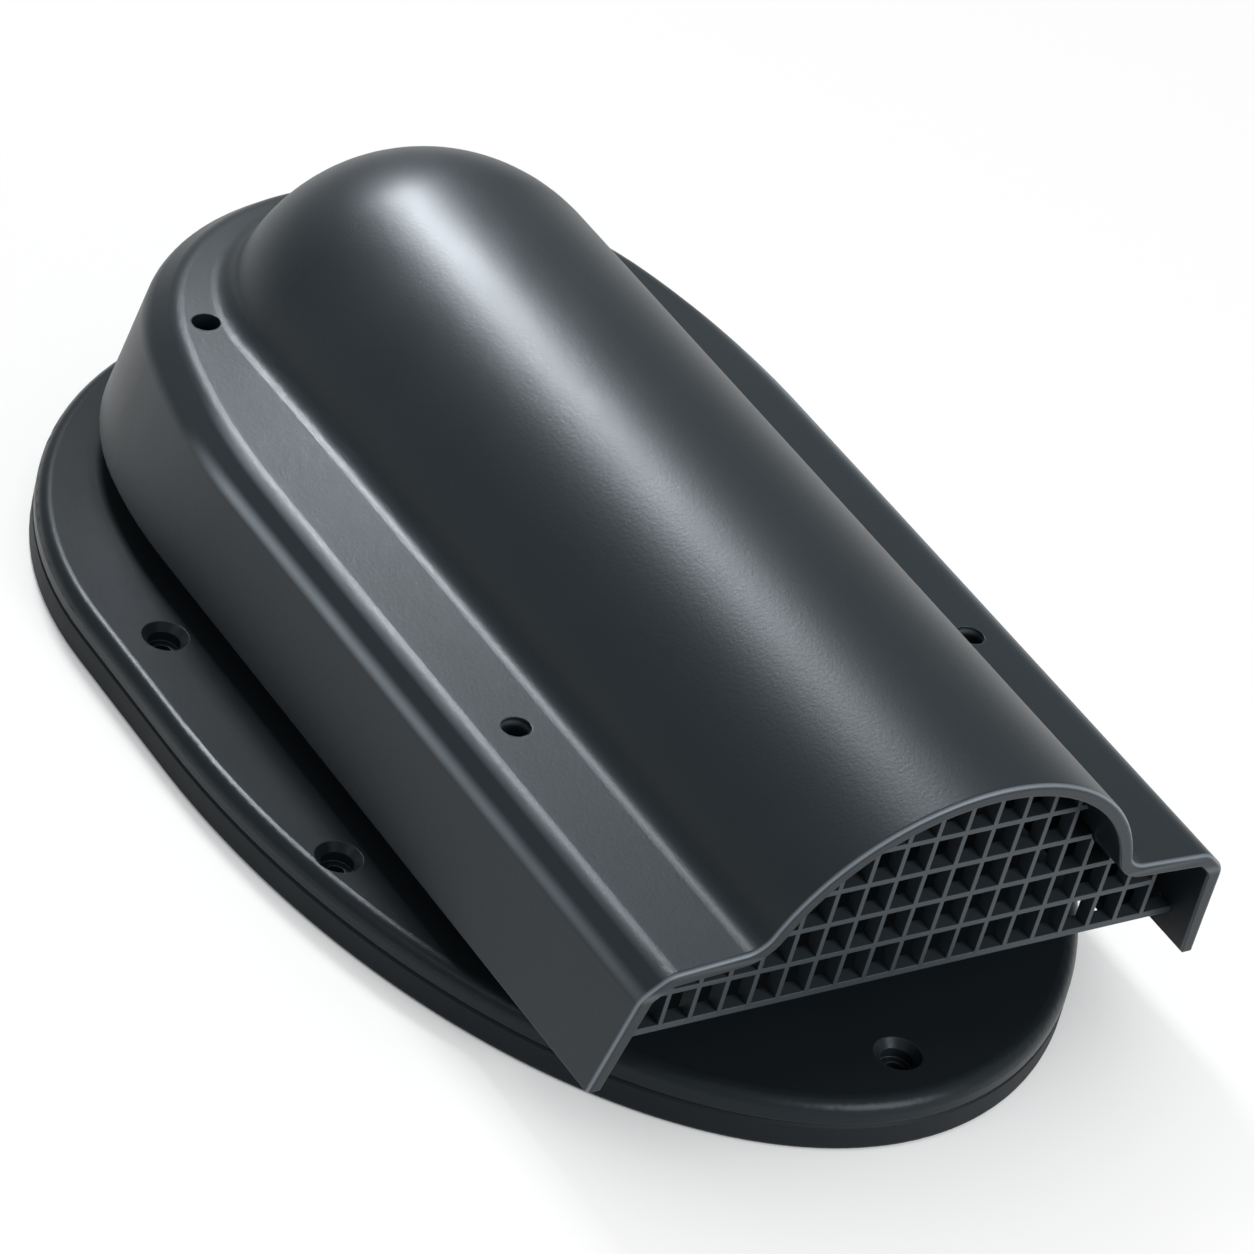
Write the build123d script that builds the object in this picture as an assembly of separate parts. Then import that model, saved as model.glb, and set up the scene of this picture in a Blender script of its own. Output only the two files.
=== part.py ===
"""Roof vent for a pitched roof: an oval base on a ring seal, under a moulded hood with a lattice grille.

Millimetres, +Z up. The grille faces -Y. The origin is at the middle of the seal's underside.
"""
from build123d import *
import os
from math import cos, hypot, radians, sin, sqrt, tan

# Base plate, seen from above: round at the rear, half an ellipse at the front
base_length = 400.0
base_width = 266.0
base_side_length = 55.0         # straight run of each long side
plate_thickness = 8.0
plate_skin = 3.5                # what is left over the pockets of the underside
plate_edge_radius = 4.5
parting_chamfer = 0.8           # on both edges of the joint between plate and seal

# Ring seal under the rim of the plate
seal_thickness = 9.0
seal_width = 38.0
seal_edge_radius = 1.5

# Stiffening ribs in the underside of the plate
rib_thickness = 2.0
rib_spacing = 46.0

# Holes that take the roofing screws, sunk in the rim
dimple_radius = 7.2
dimple_bore_radius = 5.0
dimple_cone_depth = 2.2
dimple_depth = 5.5
roof_screw_radius = 2.75
dimple_inset = 19.0             # of the front one, from the edge of the plate
dimple_spacing_x = 229.0
dimple_spacing_y = 107.0
dimple_middle_y = -2.5          # middle of the four side ones

# Duct collar in the base
duct_diameter = 110.0
duct_wall = 3.0
duct_rise = 32.0                # above the top of the plate
duct_y = 98.0

# Hood: a round tunnel ending in a dome, on a shoulder that falls outwards to flared skirts
hood_width = 198.2              # across the shoulder, at its sharp corner
hood_wall = 4.2
hood_gap = 9.5                  # between the skirts and the plate
skirt_height = 44.0             # to the sharp corner of the shoulder
skirt_spread = 5.8              # how far the foot of the skirts stands out from the shoulder
corner_chamfer = 7.0            # between the shoulder and the skirts
corner_blend = 7.5
shoulder_slope = 4.5            # degrees
shoulder_run = 42.0             # from the sharp corner to under the tunnel
tunnel_radius = 65.0
tunnel_rise = 51.5              # above the sharp corner of the shoulder
crease_radius = 8.0             # where the tunnel meets the shoulder
dome_y = 110.0
rear_land = 1.5                 # flat of the shoulder left behind the dome
shoulder_narrowing = 8.0        # how far the rear arc's radius is under half of the width
shoulder_straight_y = 46.0      # where the straight sides end
foot_narrowing = 2.0            # the same two for the foot of the skirts, which is fuller
foot_straight_y = 75.0
front_y = -184.4                # front edge, at the height of the shoulder
front_overhang = 9.4            # degrees
front_edge_blend = 1.4
lip_width = 14.0                # of the lip turned inwards at the foot of the skirts
lip_thickness = 2.5
lip_start_y = -158.0            # behind the grille

# Screw wells of the hood, on posts of the base
well_radius = 4.4
well_wall = 2.6
well_floor = 3.0
post_radius = 6.6
post_height = 23.0
well_front_x = 79.0
well_front_y = -76.0
well_rear_x = 71.0
well_rear_y = 126.0

# Screws that hold the hood
screw_radius = 2.0
screw_length = 15.0
screw_head_radius = 3.8
screw_head_height = 2.6
screw_slot_length = 4.0
screw_slot_width = 1.0
screw_slot_depth = 1.4
screw_clearance = 0.3           # in the floor of the well
thread_clearance = 0.05         # in the bore of the post
pilot_spare = 1.0               # depth of the post's bore past the screw's end

# Lattice grille
grille_depth = 5.0
grille_recess = 10.0            # behind the front edge, at the bottom bar
grille_lift = 18.5              # underside of the bottom bar above the plate
grille_tilt = 3.0               # degrees, leaning forwards
grille_bars = 19
grille_bar_pitch = 9.8
grille_bar_width = 1.5
grille_row_pitch = 12.6
grille_row_width = 1.8
grille_sill_width = 2.2
grille_clearance = 0.3
socket_depth = 1.4              # of the pockets in the skirts that hold the ends of the bottom bar

# Places that follow from the sizes above
plate_z = seal_thickness
deck_z = plate_z + plate_thickness
skirt_z = deck_z + hood_gap
shoulder_z = skirt_z + skirt_height
tunnel_axis_z = shoulder_z + tunnel_rise - tunnel_radius
post_z = deck_z + post_height
rear_arc_y = (base_length - base_width) / 2
front_ellipse_y = rear_arc_y - base_side_length
grille_z = deck_z + grille_lift
grille_front_y = front_y + grille_recess + (shoulder_z - grille_z) * tan(radians(front_overhang))
trim = 20.0                     # how far rough stock stands past the cut that trims it
stock_y = front_y - trim

# Solids that stand on a point, and solids that hang from one
standing = (Align.CENTER, Align.CENTER, Align.MIN)
hanging = (Align.CENTER, Align.CENTER, Align.MAX)


def base_outline(inset=0.0):
    """Oval of the base: two arcs and two straight sides, all moved in by inset."""
    half = base_width / 2 - inset
    rear = CenterArc((0, rear_arc_y), half, 0, 180)
    front_reach = front_ellipse_y + base_length / 2 - inset
    front = EllipticalCenterArc((0, front_ellipse_y), half, front_reach, start_angle=180, arc_size=180)
    sides = [Line((x, rear_arc_y), (x, front_ellipse_y)) for x in (-half, half)]
    return make_face(Curve() + [rear, front] + sides)


def dimple_places():
    """The five roofing screws: two on each long side and one at the front."""
    half_x = dimple_spacing_x / 2
    half_y = dimple_spacing_y / 2
    sides = [(x, dimple_middle_y + y) for x in (-half_x, half_x) for y in (-half_y, half_y)]
    return sides + [(0, dimple_inset - base_length / 2)]


def well_places():
    """The four screws of the hood, in mirrored pairs on its shoulder."""
    front = [(x, well_front_y) for x in (-well_front_x, well_front_x)]
    rear = [(x, well_rear_y) for x in (-well_rear_x, well_rear_x)]
    return front + rear


def dimple_cutter():
    """A countersunk counterbore with its through hole, hanging from the origin."""
    cone = Pos(0, 0, -dimple_cone_depth / 2) * Cone(dimple_bore_radius, dimple_radius, dimple_cone_depth)
    bore = Cylinder(dimple_bore_radius, dimple_depth, align=hanging)
    hole = Cylinder(roof_screw_radius, plate_thickness, align=hanging)
    return cone + bore + hole


def rib_grid(pocket):
    """Ribs both ways across the underside, as high as the pocket is deep."""
    depth = plate_thickness - plate_skin
    lengthwise = Box(rib_thickness, base_length, depth, align=standing)
    crosswise = Box(base_width, rib_thickness, depth, align=standing)
    across = int(base_width / 2 / rib_spacing)
    along = int(base_length / 2 / rib_spacing)
    ribs = [Pos(i * rib_spacing, 0, plate_z) * lengthwise for i in range(-across, across + 1)]
    ribs += [Pos(0, i * rib_spacing, plate_z) * crosswise for i in range(-along, along + 1)]
    return (Part() + ribs) & pocket


def base_plate():
    """Moulded plate with a ribbed underside, screw dimples, posts for the hood and the duct collar."""
    outline = base_outline()
    plate = extrude(Pos(0, 0, plate_z) * outline, plate_thickness)
    plate = fillet(plate.edges().group_by(Axis.Z)[-1], plate_edge_radius)
    plate = chamfer(plate.edges().group_by(Axis.Z)[0], parting_chamfer)
    inside = Pos(0, 0, plate_z) * base_outline(seal_width)
    pocket = extrude(inside, plate_thickness - plate_skin)
    plate = plate - pocket + rib_grid(pocket)

    collar_radius = duct_diameter / 2 + duct_wall
    collar_height = plate_thickness + duct_rise
    plate += Pos(0, duct_y, plate_z) * Cylinder(collar_radius, collar_height, align=standing)
    plate -= Pos(0, duct_y, plate_z) * Cylinder(duct_diameter / 2, collar_height, align=standing)

    post = Cylinder(post_radius, post_height, align=standing)
    pilot_depth = screw_length - well_floor + pilot_spare
    pilot = Cylinder(screw_radius + thread_clearance, pilot_depth, align=hanging)
    for x, y in well_places():
        plate += Pos(x, y, deck_z) * post
        plate -= Pos(x, y, post_z) * pilot
    for x, y in dimple_places():
        plate -= Pos(x, y, deck_z) * dimple_cutter()
    return plate


def base_seal():
    """Rubber ring with the outline of the plate, pierced where the roofing screws pass."""
    outline = base_outline()
    seal = extrude(outline, seal_thickness)
    seal = fillet(seal.edges().group_by(Axis.Z)[0], seal_edge_radius)
    seal = chamfer(seal.edges().group_by(Axis.Z)[-1], parting_chamfer)
    seal -= extrude(base_outline(seal_width), seal_thickness)
    for x, y in dimple_places():
        seal -= Pos(x, y, seal_thickness / 2) * Cylinder(roof_screw_radius, seal_thickness)
    return seal


def crease_reach():
    """Distance from the tunnel's middle plane to where its crease runs out on the shoulder."""
    drop = tunnel_radius - tunnel_rise
    return sqrt((tunnel_radius + crease_radius) ** 2 - (drop + crease_radius) ** 2)


def hood_plan(outset, narrowing, straight_y):
    """Plan of the hood, outset from its shoulder: straight sides, then long arcs, then a round rear."""
    half = hood_width / 2 + outset
    corner_reach = corner_chamfer + corner_blend * tan(radians(22.5))
    rear_y = dome_y + crease_reach() + rear_land + corner_reach + outset
    rear_radius = half - narrowing
    rear_centre = rear_y - rear_radius
    rise = rear_centre - straight_y
    side_radius = half - narrowing / 2 + rise ** 2 / (2 * narrowing)
    reach = rear_radius / (side_radius - rear_radius)
    meet = ((side_radius - half) * reach, rear_centre + rise * reach)
    right = Line((half, stock_y), (half, straight_y))
    bend = TangentArc((half, straight_y), meet, tangent=(0, 1))
    rear = ThreePointArc(meet, (0, rear_y), (-meet[0], meet[1]))
    front = Line((-half, stock_y), (half, stock_y))
    return make_face(Curve() + [right, bend, mirror(right, Plane.YZ), mirror(bend, Plane.YZ), rear, front])


def hood_skirts(inset, foot):
    """Block inside the skirts: up from the fuller plan of their foot, then in along the shoulder."""
    bottom = Pos(0, 0, skirt_z) * hood_plan(skirt_spread - inset, foot_narrowing, foot_straight_y)
    corner = Pos(0, 0, shoulder_z - inset) * hood_plan(-inset, shoulder_narrowing, shoulder_straight_y)
    ridge_z = shoulder_z - inset + shoulder_run * tan(radians(shoulder_slope))
    ridge = Pos(0, 0, ridge_z) * hood_plan(-inset - shoulder_run, shoulder_narrowing, shoulder_straight_y)
    block = loft([bottom, corner, ridge], ruled=True)
    if foot:
        block += extrude(bottom, -foot)
    return block


def hood_crown(inset):
    """Tunnel and dome: one round section, drawn forwards, and turned half round at the rear."""
    radius = tunnel_radius - inset
    root_z = shoulder_z - inset - crease_radius
    disc = Pos(0, tunnel_axis_z) * Circle(radius)
    above = Pos(0, root_z) * Rectangle(2 * radius, 2 * radius, align=(Align.CENTER, Align.MIN))
    section = Plane.XZ.offset(-dome_y) * (disc & above)
    tunnel = extrude(section, dome_y - stock_y)
    half_section = split(section, bisect_by=Plane.YZ, keep=Keep.TOP)
    dome = revolve(half_section, Axis((0, dome_y, 0), (0, 0, 1)), 180)
    return tunnel + dome


def hood_form(inset, foot=0.0):
    """Solid inside the hood's outer skin moved in by inset, reaching past the skirts by foot."""
    form = hood_skirts(inset, foot) + hood_crown(inset)
    corner_z = shoulder_z - inset
    fall = tan(radians(shoulder_slope))

    def from_middle(edge):
        middle = edge @ 0.5
        return hypot(middle.X, max(middle.Y - dome_y, 0))

    def between(low_z, high_z):
        level = form.edges().filter_by_position(Axis.Z, low_z, high_z)
        return [edge for edge in level if (edge @ 0.5).Y > stock_y + 1]

    edge_of_land = crease_reach() + rear_land / 2
    sloping = between(corner_z + 0.1, corner_z + shoulder_run * fall)
    form = fillet([edge for edge in sloping if from_middle(edge) < edge_of_land], crease_radius + inset)
    leg = corner_chamfer - inset * (2 - sqrt(2))
    form = chamfer(between(corner_z - 0.02, corner_z + 0.02), leg)
    if inset < corner_blend:
        corners = between(corner_z + 0.8 * leg * fall, corner_z + 1.1 * leg * fall)
        corners += between(corner_z - 1.01 * leg, corner_z - 0.8 * leg)
        form = fillet(corners, corner_blend - inset)
    return form


def inner_half_width(z):
    """Half the clear width between the skirts at a height under the shoulder."""
    below = (shoulder_z - hood_wall - z) / (skirt_height - hood_wall)
    return hood_width / 2 - hood_wall + skirt_spread * below


def sill_box(grow):
    """Bottom bar of the grille from socket to socket, grown all round for the sockets themselves."""
    middle_z = grille_z + grille_sill_width / 2
    half_length = inner_half_width(middle_z) + socket_depth - grille_clearance + grow
    size = (2 * half_length, grille_depth + 2 * grow, grille_sill_width + 2 * grow)
    return Pos(0, grille_front_y + grille_depth / 2, middle_z) * Box(*size)


def foot_lip():
    """Lip turned inwards at the foot of the skirts, behind the grille, that keeps driven rain out."""
    outer = hood_plan(skirt_spread - hood_wall / 2, foot_narrowing, foot_straight_y)
    inner = hood_plan(skirt_spread - hood_wall - lip_width, foot_narrowing, foot_straight_y)
    lip = extrude(Pos(0, 0, skirt_z) * (outer - inner), lip_thickness)
    return split(lip, bisect_by=Plane.XZ.offset(-lip_start_y), keep=Keep.BOTTOM)


def hood():
    """Moulded cover: an even shell, open below and at the front, with a foot lip, wells and sockets."""
    slope = radians(front_overhang)
    front = Plane(origin=(0, front_y, shoulder_z), z_dir=(0, -cos(slope), -sin(slope)))
    shell = split(hood_form(0), bisect_by=front, keep=Keep.BOTTOM)
    front_face = shell.faces().sort_by(Axis.Y)[0]
    rim = [edge for edge in front_face.edges() if (edge @ 0.5).Z > skirt_z + front_edge_blend]
    shell = fillet(rim, front_edge_blend) - hood_form(hood_wall, foot=trim) + foot_lip()

    boss = Cylinder(well_radius + well_wall, shoulder_z - post_z, align=standing)
    well = Cylinder(well_radius, shoulder_z - post_z, align=standing)
    hole = Cylinder(screw_radius + screw_clearance, well_floor, align=standing)
    for x, y in well_places():
        shell += Pos(x, y, post_z) * boss
        shell -= Pos(x, y, post_z + well_floor) * well
        shell -= Pos(x, y, post_z) * hole
    return shell - sill_box(grille_clearance)


def front_grille():
    """Lattice of upright bars and rows, cut to the inside of the hood, on a longer bottom bar."""
    field_height = shoulder_z + tunnel_rise - grille_z
    field_width = (grille_bars - 1) * grille_bar_pitch + grille_bar_width
    bar = Box(grille_bar_width, grille_depth, field_height, align=standing)
    row = Box(field_width, grille_depth, grille_row_width, align=standing)
    first_x = -(grille_bars - 1) * grille_bar_pitch / 2
    rows = int(field_height / grille_row_pitch)
    lattice = [Pos(first_x + i * grille_bar_pitch, 0, 0) * bar for i in range(grille_bars)]
    lattice += [Pos(0, 0, i * grille_row_pitch) * row for i in range(1, rows + 1)]
    hinge = Pos(0, grille_front_y + grille_depth / 2, grille_z + grille_sill_width / 2)
    leaning = hinge * Rot(grille_tilt, 0, 0) * (Part() + lattice)
    inside = hood_form(hood_wall + grille_clearance, foot=trim)
    return (leaning & inside) + sill_box(0)


def hood_screws():
    """Four pan-head screws, each seated on the floor of its well."""
    screw = Cylinder(screw_head_radius, screw_head_height, align=standing)
    screw += Cylinder(screw_radius, screw_length, align=hanging)
    slot = Box(screw_slot_length, screw_slot_width, screw_slot_depth, align=hanging)
    for turn in (0, 90):
        screw -= Pos(0, 0, screw_head_height) * Rot(0, 0, turn) * slot
    return Compound(children=[Pos(x, y, post_z + well_floor) * screw for x, y in well_places()])


if __name__ == "__main__":
    os.makedirs("parts", exist_ok=True)
    for make in (base_seal, base_plate, hood, front_grille, hood_screws):
        export_step(make(), "parts/" + make.__name__ + ".step")
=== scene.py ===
"""Roof vent in satin slate-grey plastic, dressed around its solids and set on a white studio floor."""
import math

import bpy
from mathutils import Matrix, Vector

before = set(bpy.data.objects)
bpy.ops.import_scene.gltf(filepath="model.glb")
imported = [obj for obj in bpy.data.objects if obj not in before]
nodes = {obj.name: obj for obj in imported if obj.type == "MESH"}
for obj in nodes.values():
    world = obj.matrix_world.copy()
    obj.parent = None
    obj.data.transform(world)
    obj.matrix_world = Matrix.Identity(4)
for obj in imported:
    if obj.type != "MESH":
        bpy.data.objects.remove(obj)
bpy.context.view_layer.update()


# Base seal: the ring between the plate and the roof, pressed tight by the roofing screws.
# Black rubber, moulded in one piece, with a dull skin that has a fine, even tooth.
class Signal:
    """A socket of a finish. Arithmetic on signals adds Math nodes, and node() adds any other node."""

    def __init__(self, tree, socket=None):
        self.tree = tree
        self.socket = socket

    def node(self, kind, settings, inputs, output=0):
        made = self.tree.nodes.new("ShaderNode" + kind)
        for name, value in settings.items():
            setattr(made, name, value)
        for name, value in inputs.items():
            if isinstance(value, Signal):
                self.tree.links.new(value.socket, made.inputs[name])
            else:
                made.inputs[name].default_value = value
        return Signal(self.tree, made.outputs[output] if made.outputs else None)

    def math(self, operation, *terms):
        return self.node("Math", {"operation": operation}, dict(enumerate(terms)))

    def mix(self, first, second):
        """From the first colour to the second, as this signal goes from 0 to 1."""
        return self.node("Mix", {"data_type": "RGBA"}, {"Factor": self, 6: first, 7: second}, 2)

    def __add__(self, other):
        return self.math("ADD", self, other)

    def __radd__(self, other):
        return self.math("ADD", other, self)

    def __sub__(self, other):
        return self.math("SUBTRACT", self, other)

    def __rsub__(self, other):
        return self.math("SUBTRACT", other, self)

    def __mul__(self, other):
        return self.math("MULTIPLY", self, other)

    def __rmul__(self, other):
        return self.math("MULTIPLY", other, self)


def start_finish(name):
    """A new material with an empty node tree, and the signal that its nodes start from."""
    material = bpy.data.materials.new(name)
    material.use_nodes = True
    material.node_tree.nodes.clear()
    return material, Signal(material.node_tree)


def dress(node_name, material):
    """Give a node of the part its finish."""
    piece = nodes[node_name]
    piece.data.materials.clear()
    piece.data.materials.append(material)


clean_rubber = (0.0050, 0.0064, 0.0078, 1)
bloomed_rubber = (0.0085, 0.0108, 0.0128, 1)
blue_gloss = (0.82, 0.91, 1.0, 1)
seal_rubber, start = start_finish("seal_rubber")
place = start.node("TexCoord", {}, {}, "Object")
tooth = start.node("TexNoise", {}, {"Vector": place, "Scale": 2600.0, "Detail": 2.0}, "Fac")
bloom = start.node("TexNoise", {}, {"Vector": place, "Scale": 60.0, "Detail": 3.0}, "Fac")
shade = bloom.mix(clean_rubber, bloomed_rubber)
bump = start.node("Bump", {}, {"Height": tooth, "Strength": 0.25, "Distance": 0.0002}, "Normal")
surface = start.node("BsdfPrincipled", {}, {
    "Base Color": shade, "Roughness": 0.5 + 0.16 * bloom, "Normal": bump,
    "Specular IOR Level": 0.22, "Specular Tint": blue_gloss})
start.node("OutputMaterial", {}, {"Surface": surface})
dress("base_seal", seal_rubber)


# Base plate, hood and front grille: the plate on the roof, the cover screwed to its posts and the
# lattice set into the mouth of the cover. All are slate-grey plastic, moulded against a spark-eroded
# tool, which leaves a fine leathery grain. The edges of plate and hood are painted paler, partly as wear
# and partly as a painted highlight, and the hood has painted highlight lines along its shoulder, skirt and
# mouth.
def band(value, low, middle, high):
    """A mask that rises from low to middle and falls again to high."""
    rise = value.node("MapRange", {"interpolation_type": "SMOOTHSTEP"}, {
        "Value": value, "From Min": low, "From Max": middle})
    fall = value.node("MapRange", {"interpolation_type": "SMOOTHSTEP"}, {
        "Value": value, "From Min": high, "From Max": middle})
    return rise * fall


# Pale paint for edges: partly wear, partly a painted highlight.
wear_and_highlight_pale = (0.16, 0.18, 0.20, 1)


def slate_plastic(name, colour, roughness, gloss, grain, edge, edge_wear_and_highlight=0.0, painted_highlight_lines=None):
    """Satin plastic with a grain of that depth and edges of that radius, its edges painted pale as wear and
    painted highlight.
    """
    material, start = start_finish(name)
    place = start.node("TexCoord", {}, {}, "Object")
    pebble = start.node("TexNoise", {}, {
        "Vector": place, "Scale": 850.0, "Detail": 3.0, "Roughness": 0.6}, "Fac")
    cloud = start.node("TexNoise", {}, {"Vector": place, "Scale": 35.0, "Detail": 3.0}, "Fac")
    dark = tuple(0.92 * c for c in colour) + (1,)
    light = tuple(1.08 * c for c in colour) + (1,)
    shade = cloud.mix(dark, light)
    rounded = start.node("Bevel", {"samples": 6}, {"Radius": edge}, "Normal")
    facing = start.node("NewGeometry", {}, {}, "Normal")
    turned = 1 - start.node("VectorMath", {"operation": "DOT_PRODUCT"}, {0: rounded, 1: facing}, "Value")
    # Paler paint on every edge the bevel finds: partly wear, partly a painted highlight.
    wear_and_highlights = [(edge_wear_and_highlight * start.math("MINIMUM", 3 * turned, 1.0), wear_and_highlight_pale)]
    # Painted highlight lines, where they are given.
    if painted_highlight_lines:
        wear_and_highlights += painted_highlight_lines(place)
    patchy = 0.7 + 0.6 * cloud
    for mask, pale in wear_and_highlights:
        shade = (mask * patchy).mix(shade, pale)
    bump = start.node("Bump", {}, {
        "Height": pebble, "Strength": 0.5, "Distance": grain, "Normal": rounded}, "Normal")
    surface = start.node("BsdfPrincipled", {}, {
        "Base Color": shade, "Roughness": roughness - 0.02 + 0.04 * cloud, "Normal": bump,
        "Specular IOR Level": gloss, "Specular Tint": blue_gloss})
    start.node("OutputMaterial", {}, {"Surface": surface})
    return material


def hood_painted_highlights(place):
    """Painted highlight lines on the hood: along the shoulder, along the top of the skirt and round the
    mouth.
    """
    y = place.node("SeparateXYZ", {}, {"Vector": place}, "Y")
    z = place.node("SeparateXYZ", {}, {"Vector": place}, "Z")
    shoulder_heights = (0.0686, 0.0704, 0.0715)
    skirt_heights = (0.0610, 0.0636, 0.0662)
    past_mouth = -0.30
    # Painted highlights along the shoulder edge and the top of the skirt, fading out past the mouth.
    shoulder = band(z, *shoulder_heights) * band(y, 0.10, 0.06, past_mouth)
    skirt = band(z, *skirt_heights) * band(y, 0.09, 0.05, past_mouth)
    mouth_y = -0.1844
    mouth_z = 0.0705
    mouth_lean = math.radians(9.4)
    behind_mouth = math.cos(mouth_lean) * (y - mouth_y) + math.sin(mouth_lean) * (z - mouth_z)
    # Painted highlight round the rim of the mouth.
    mouth = band(behind_mouth, 0.00005, 0.0005, 0.0016)
    # Pale paints for the painted highlight lines.
    shoulder_highlight_pale = (0.10, 0.115, 0.126, 1)
    skirt_highlight_pale = (0.20, 0.225, 0.245, 1)
    return [(shoulder, shoulder_highlight_pale), (skirt, skirt_highlight_pale), (mouth, wear_and_highlight_pale)]


dress("base_plate", slate_plastic(
    "base_plastic", colour=(0.0110, 0.0140, 0.0162), roughness=0.33, gloss=0.20,
    grain=0.00006, edge=0.0005, edge_wear_and_highlight=0.6))
dress("hood", slate_plastic(
    "hood_plastic", colour=(0.0108, 0.0148, 0.0177), roughness=0.41, gloss=0.36,
    grain=0.00011, edge=0.0006, edge_wear_and_highlight=0.4, painted_highlight_lines=hood_painted_highlights))
dress("front_grille", slate_plastic(
    "grille_plastic", colour=(0.030, 0.037, 0.042), roughness=0.36, gloss=0.42,
    grain=0.00006, edge=0.0004))


# Screws of the hood: four pan-head screws that hold it to the posts of the plate.
# Blackened steel, a little blotchy from the blackening, sunk deep in the wells of the hood.
dark_steel = (0.036, 0.036, 0.040, 1)
light_steel = (0.066, 0.066, 0.070, 1)
screw_steel, start = start_finish("screw_steel")
place = start.node("TexCoord", {}, {}, "Object")
blotch = start.node("TexNoise", {}, {"Vector": place, "Scale": 900.0, "Detail": 4.0}, "Fac")
shade = blotch.mix(dark_steel, light_steel)
surface = start.node("BsdfPrincipled", {}, {
    "Base Color": shade, "Metallic": 0.9, "Roughness": 0.3 + 0.2 * blotch})
start.node("OutputMaterial", {}, {"Surface": surface})
dress("hood_screws", screw_steel)


# Floor: white, matt and wide enough to fill the picture, a hair below the seal. It shows white to the
# camera and in reflections, and darkens where the vent closes it off from the light.
reach = 6.0
drop = -0.0002
shadow_reach = 0.15
shadow_depth = 1.6
corners = [(-reach, -reach, drop), (reach, -reach, drop), (reach, reach, drop), (-reach, reach, drop)]
floor_mesh = bpy.data.meshes.new("floor")
floor_mesh.from_pydata(corners, [], [(0, 1, 2, 3)])
floor = bpy.data.objects.new("floor", floor_mesh)
bpy.context.scene.collection.objects.link(floor)
floor_paint, start = start_finish("floor_paint")
paint = start.node("BsdfDiffuse", {}, {"Color": (0.9, 0.9, 0.9, 1)})
glow = start.node("Emission", {}, {"Color": (1, 1, 1, 1), "Strength": 1.0})
seen = (start.node("LightPath", {}, {}, "Is Camera Ray") + start.node("LightPath", {}, {}, "Is Glossy Ray")
        + start.node("LightPath", {}, {}, "Is Transmission Ray"))
open_sky = start.node("AmbientOcclusion", {"samples": 12}, {"Distance": shadow_reach}, "AO")
white = 0.95 * seen * start.math("POWER", open_sky, shadow_depth)
surface = start.node("MixShader", {}, {0: white, 1: paint, 2: glow})
start.node("OutputMaterial", {}, {"Surface": surface})
floor_mesh.materials.append(floor_paint)


# Studio light: a softbox behind the dome draws the streak along the tunnel, and a narrow spot beside it
# the bright point on the dome. A broad softbox in front and a weak one on the left open up the shadows,
# and a pale sky lights the rest evenly.
def softbox(name, place, aim, side, power, spread=180.0):
    """A square lamp that faces its aim, with its light kept within an angle in degrees."""
    lamp = bpy.data.lights.new(name, "AREA")
    lamp.shape = "RECTANGLE"
    lamp.size = side
    lamp.size_y = side
    lamp.energy = power
    lamp.spread = math.radians(spread)
    lamp_object = bpy.data.objects.new(name, lamp)
    turn = (Vector(aim) - Vector(place)).to_track_quat("-Z", "Y").to_matrix().to_4x4()
    lamp_object.matrix_world = Matrix.Translation(place) @ turn
    bpy.context.scene.collection.objects.link(lamp_object)


softbox("rear_softbox", (0.098, 0.81, 0.95), aim=(-0.02, 0.06, 0.11), side=0.25, power=1.45, spread=60.0)
softbox("dome_spot", (0.105, 0.763, 0.825), aim=(-0.019, 0.1006, 0.119), side=0.08, power=0.016, spread=8.0)
softbox("front_softbox", (0.4, -1.5, 0.8), aim=(0.0, 0.0, 0.05), side=0.9, power=20.0)
softbox("left_softbox", (-1.0, -0.05, 0.95), aim=(0.0, -0.1, 0.05), side=0.4, power=0.8)

world = bpy.data.worlds.new("studio")
world.use_nodes = True
sky = world.node_tree.nodes["Background"]
sky.inputs["Color"].default_value = (0.93, 0.98, 1.0, 1)
sky.inputs["Strength"].default_value = 0.42
bpy.context.scene.world = world


# Camera: above and to the left of the mouth, two metres off, with a long lens, and rolled as the photo is.
# It is then moved in its own plane, in pixels of the photo, to frame the vent as the photo does.
azimuth = math.radians(-39.668)
elevation = math.radians(35.193)
roll = math.radians(14.531)
distance = 2.0002
focal_px = 6732.99
image_px = 1254
shift_px = (-9.03, -45.35)
aim = Vector((0, -0.01825, 0.0313))
flat = math.cos(elevation)
back = Vector((math.sin(azimuth) * flat, -math.cos(azimuth) * flat, math.sin(elevation)))
level = Vector((math.cos(azimuth), math.sin(azimuth), 0))
upright = back.cross(level)
across = math.cos(roll) * level + math.sin(roll) * upright
up = math.cos(roll) * upright - math.sin(roll) * level
camera_data = bpy.data.cameras.new("camera")
camera_data.sensor_width = 36.0
camera_data.lens = camera_data.sensor_width * focal_px / image_px
camera = bpy.data.objects.new("camera", camera_data)
eye = aim + distance * back - distance / focal_px * (shift_px[0] * across + shift_px[1] * up)
camera.matrix_world = Matrix.Translation(eye) @ Matrix((across, up, back)).transposed().to_4x4()
bpy.context.scene.collection.objects.link(camera)
bpy.context.scene.camera = camera
bpy.context.scene.view_settings.view_transform = "Standard"
